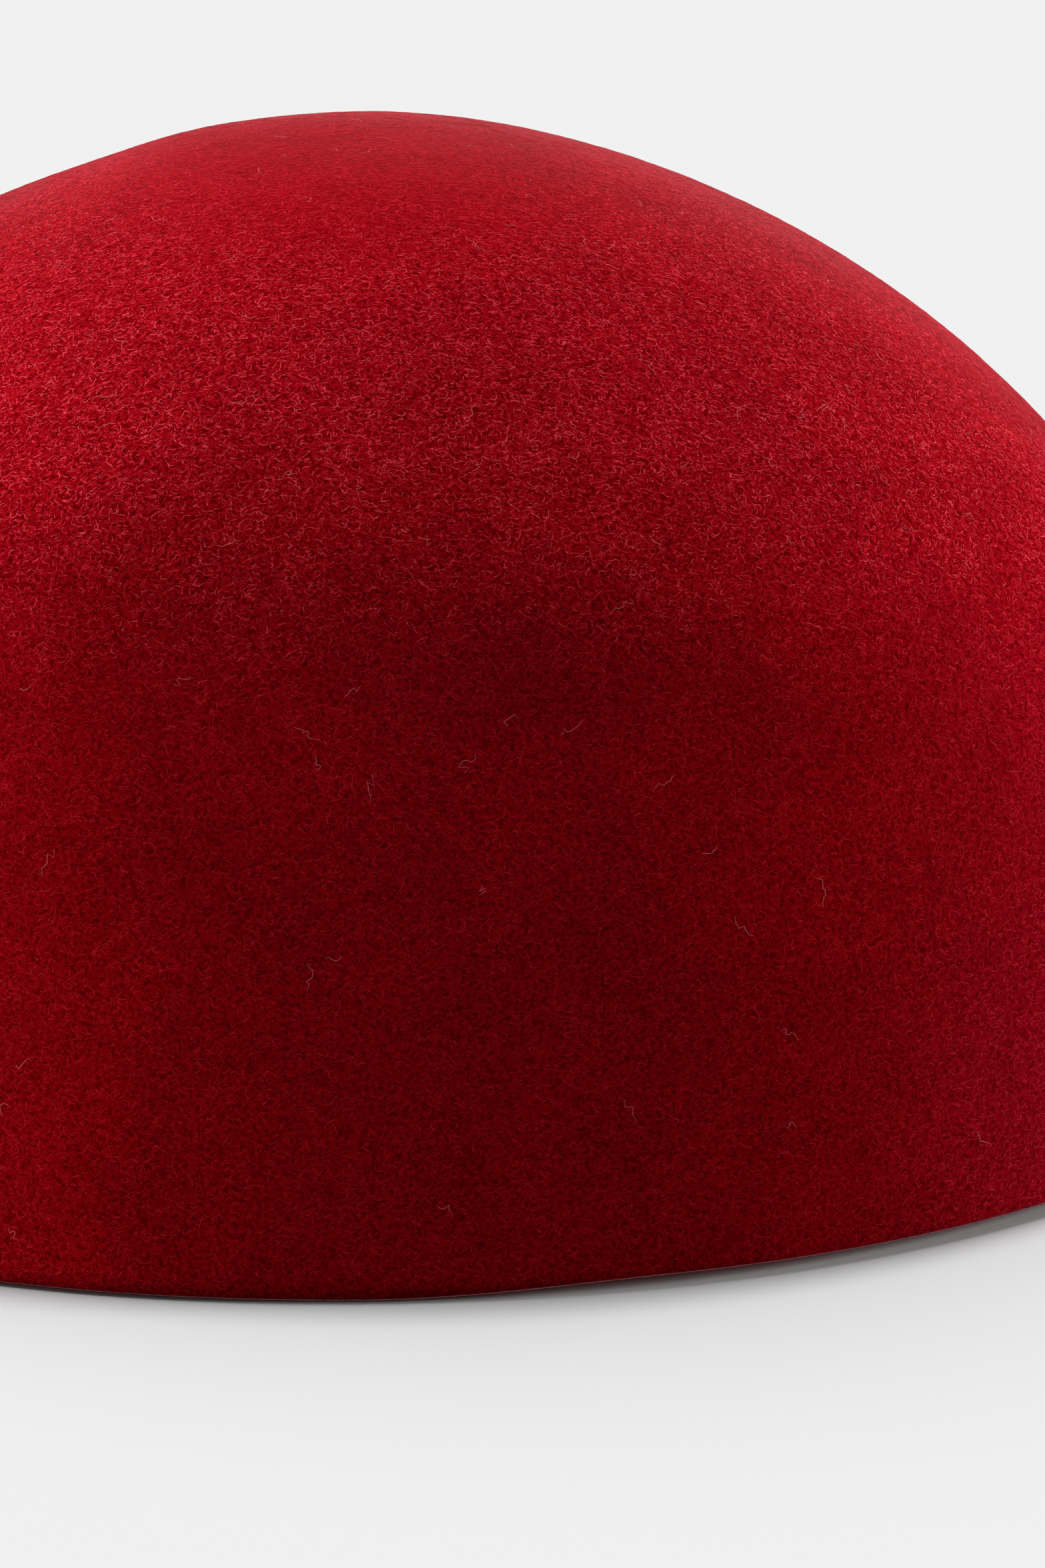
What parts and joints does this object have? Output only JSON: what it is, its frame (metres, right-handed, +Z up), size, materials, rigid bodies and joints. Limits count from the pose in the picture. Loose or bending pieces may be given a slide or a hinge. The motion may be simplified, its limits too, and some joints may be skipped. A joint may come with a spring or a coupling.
{
  "type": "felt beanie",
  "caption": "Brimless dome-shaped cap of blocked wool felt, unlined, open underneath for the head and resting on its cut rim.",
  "frame": {"origin": "middle of the rim's underside, on the surface that the cap rests on", "axes": "+Z up to the crown, +X along the oval's length towards the front of the head, +Y to the wearer's left"},
  "size_m": [0.2038, 0.174, 0.0998],
  "materials": {
    "red_felt": "brushed matte wool felt with a short nap"
  },
  "bodies": {
    "root": {"felt_crown": "red_felt"}
  },
  "joints": []
}
